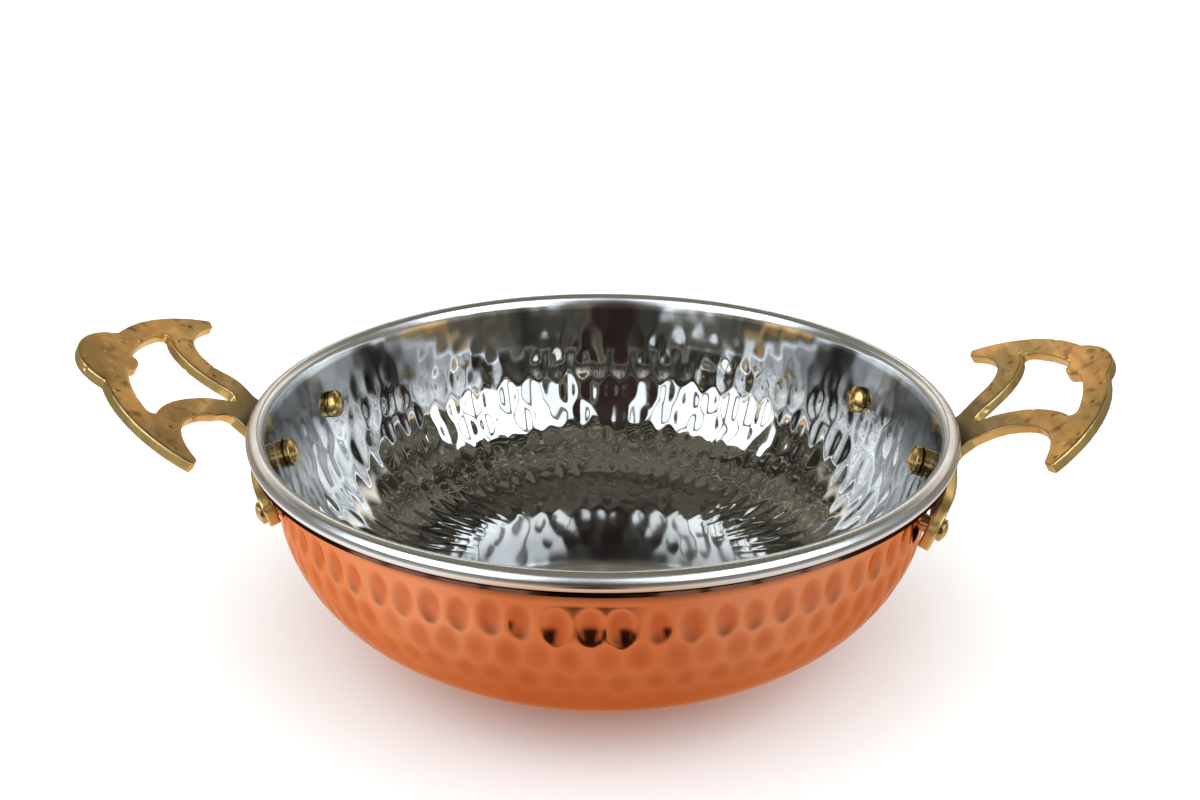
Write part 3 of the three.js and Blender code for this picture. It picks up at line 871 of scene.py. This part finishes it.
rivet_brass = turned_brass()
lay_along_x = Matrix.Rotation(math.pi / 2, 4, "Y")
for side, handle in handles.items():
    seats = handle["rivet_wall"] - seat_gap, handle["rivet_face"] + seat_gap
    pattern = spun(f"{side}_rivet_pattern", rivet_section(*seats), 48)
    bpy.ops.object.shade_smooth_by_angle(angle=math.radians(40))
    for place, degrees in handle["rivets"].items():
        rivet = pattern.copy()
        rivet.data = pattern.data.copy()
        rivet.name = f"{side}_{place}_rivet_turned"
        bpy.context.collection.objects.link(rivet)
        facing = Matrix.Rotation(handle["heading"] + math.radians(degrees), 4, "Z")
        to_wall = Matrix.Translation((handle["rivet_wall"], 0, handle["rivet_height"]))
        from_axis = Matrix.Translation((-handle["rivet_wall"], 0, 0))
        square_to_wall = Matrix.Rotation(wall_lean, 4, "Y")
        rivet.data.transform(facing @ to_wall @ square_to_wall @ from_axis @ lay_along_x)
        dress(rivet, rivet_brass, f"{side}_{place}_rivet")
    bpy.data.objects.remove(pattern)


# Floor, light and camera
# A pale sheet of paper lies under the bowl, with tall windows behind the camera to either side.
# The mirror inside also shows a lit table, a dark card and a dim room, which the camera never sees.


def matt(name, colour, roughness):
    """A plain material without shine."""
    material = bpy.data.materials.new(name)
    material.use_nodes = True
    shader = material.node_tree.nodes["Principled BSDF"]
    shader.inputs["Base Color"].default_value = (*colour, 1)
    shader.inputs["Roughness"].default_value = roughness
    return material


def keep_to_the_metal(thing):
    """Lets a thing show in the metal alone, not to the camera, in shadows or as light on the paper."""
    thing.visible_camera = False
    thing.visible_diffuse = False
    thing.visible_shadow = False


bpy.ops.object.select_all(action="DESELECT")
bpy.ops.mesh.primitive_plane_add(size=8, location=(0, 0, -0.05 * mm))
floor = bpy.context.object
floor.name = "pale_floor"
floor.data.materials.append(matt("white_paper", (0.93, 0.925, 0.92), 0.85))
floor.visible_glossy = False


def lit_table():
    """What the metal sees of the table: bright round the bowl, dimmer under it and far away."""
    material = bpy.data.materials.new("lit_table")
    material.use_nodes = True
    tree = material.node_tree
    tree.nodes.clear()
    place = coordinates(tree)
    rightward, backward = axes_of(tree, place)[:2]
    distance = length_of(tree, place)
    aside = reckon(tree, "ABSOLUTE", rightward)
    sideways = reckon(tree, "DIVIDE", aside, distance)
    under_bowl = ramp(tree, distance, 0.065, 0.12, 0.82, 1.05)
    far_away = ramp(tree, distance, 0.138, 0.225, 1.15, 0.33)
    to_the_side = ramp(tree, sideways, 0.3, 0.7, 0.6, 0.76)
    left_light = ramp(tree, rightward, -0.1, 0.1, 1.08, 0.82)
    in_front = ramp(tree, backward, -0.144, -0.130, 1, 0)
    narrow = ramp(tree, aside, 0.014, 0.03, 0.95, 0)
    dark_front = reckon(tree, "MULTIPLY", in_front, narrow)
    open_table = ramp(tree, dark_front, 0, 1, 1, 0)
    near_copper = ramp(tree, distance, 0.06, 0.16, 0, 1)
    front_share = ramp(tree, sideways, 0.25, 0.6, 0.8, 0)
    pale = blend_of(tree, near_copper, (0.95, 0.72, 0.60), (1.0, 0.97, 0.95))
    glow = add_node(tree, "ShaderNodeEmission")
    tree.links.new(blend_of(tree, front_share, pale, (1.0, 0.62, 0.36)), glow.inputs["Color"])
    strength = reckon(tree, "MULTIPLY", under_bowl, far_away, to_the_side, left_light, open_table)
    tree.links.new(strength, glow.inputs["Strength"])
    output = add_node(tree, "ShaderNodeOutputMaterial")
    tree.links.new(glow.outputs["Emission"], output.inputs["Surface"])
    return material


bpy.ops.object.select_all(action="DESELECT")
bpy.ops.mesh.primitive_plane_add(size=3, location=(0, 0, -0.06 * mm))
table = bpy.context.object
table.name = "table_in_the_metal"
table.data.materials.append(lit_table())
keep_to_the_metal(table)


pane_width = 0.3
pane_height = 1.3
pane_pitch = 0.37
pane_colour = 0.86, 0.94, 1.0
lit_point = Vector((0, 0, 0.04))


def window(name, place, powers):
    """A row of tall panes round a place, facing the bowl."""
    facing = (lit_point - Vector(place)).to_track_quat("-Z", "Y")
    for number, power in enumerate(powers):
        light = bpy.data.lights.new(f"{name}_{number}", "AREA")
        light.shape = "RECTANGLE"
        light.size = pane_width
        light.size_y = pane_height
        light.energy = power
        light.color = pane_colour
        pane = bpy.data.objects.new(light.name, light)
        bpy.context.collection.objects.link(pane)
        aside = (number - (len(powers) - 1) / 2) * pane_pitch
        pane.location = Vector(place) + facing @ Vector((aside, 0, 0))
        pane.rotation_mode = "QUATERNION"
        pane.rotation_quaternion = facing


window("window_left", (-0.86, -0.78, 0.82), (3.3, 2.8, 2.3, 2.0))
window("window_right", (0.84, -0.80, 0.86), (2.0, 2.4, 2.9, 3.4))

bpy.ops.object.select_all(action="DESELECT")
bpy.ops.mesh.primitive_cube_add(size=1, location=(-0.02, -0.42, 0.5))
card = bpy.context.object
card.name = "dark_card_in_the_metal"
bpy.ops.transform.resize(value=(0.15, 0.01, 1))
bpy.ops.object.transform_apply(location=True, rotation=True, scale=True)
card.data.materials.append(matt("dark_red_card", (0.035, 0.014, 0.014), 1))
keep_to_the_metal(card)

fill = bpy.data.lights.new("paper_fill", "SUN")
fill.energy = 3.0
fill.angle = math.radians(120)
fill_lamp = bpy.data.objects.new("paper_fill", fill)
bpy.context.collection.objects.link(fill_lamp)
fill_lamp.visible_glossy = False

beam_waves = 110
back_light_middle = -0.03
room = bpy.data.worlds.new("dim_room")
room.use_nodes = True
room_tree = room.node_tree
direction = add_node(room_tree, "ShaderNodeTexCoord").outputs["Generated"]
rightward, backward, upward = axes_of(room_tree, direction)
blotches = ramp(room_tree, noise_on(room_tree, direction, scale=3.5, detail=3), 0.42, 0.58, 0, 1)
ceiling = blend_of(room_tree, blotches, (0.03, 0.029, 0.025), (0.15, 0.14, 0.11))
drift = noise_on(room_tree, direction, scale=2.2, detail=2)
crests = reckon(room_tree, "SINE", reckon(room_tree, "MULTIPLY", drift, beam_waves))
beams = ramp(room_tree, crests, 0.86, 0.99, 0, 1)
lined = blend_of(room_tree, beams, ceiling, (0.42, 0.39, 0.28))
behind = ramp(room_tree, backward, 0.3, 0.9, 0, 1)
above_rim = ramp(room_tree, upward, 0.33, 0.40, 0.1, 1)
low_down = ramp(room_tree, upward, 0.44, 0.51, 1, 0.02)
from_middle = reckon(room_tree, "SUBTRACT", rightward, back_light_middle)
off_middle = reckon(room_tree, "ABSOLUTE", from_middle)
to_the_sides = ramp(room_tree, off_middle, 0.03, 0.09, 0.08, 1)
back_light = reckon(room_tree, "MULTIPLY", behind, above_rim, low_down, to_the_sides)
surroundings = blend_of(room_tree, back_light, lined, (2.1, 1.95, 1.75))
seen_directly = add_node(room_tree, "ShaderNodeLightPath").outputs["Is Camera Ray"]
plain = blend_of(room_tree, seen_directly, surroundings, (1.0, 1.0, 1.0))
room_tree.links.new(plain, room_tree.nodes["Background"].inputs["Color"])
bpy.context.scene.world = room
bpy.context.scene.view_settings.view_transform = "Standard"

camera_data = bpy.data.cameras.new("photo_camera")
camera = bpy.data.objects.new("photo_camera", camera_data)
bpy.context.collection.objects.link(camera)
camera_data.sensor_fit = "HORIZONTAL"
camera_data.sensor_width = 36
camera_data.lens = 36.66
camera_data.shift_x = -0.0027
camera_data.clip_start = 0.01
stand = Vector((8.2, -276.5, 175.1)) * mm
looked_at = Vector((0, 0, 59.09)) * mm
roll = math.radians(0.258)
camera.location = stand
camera.rotation_mode = "QUATERNION"
towards_bowl = (looked_at - stand).to_track_quat("-Z", "Y")
camera.rotation_quaternion = towards_bowl @ Quaternion((0, 0, 1), roll)
bpy.context.scene.camera = camera
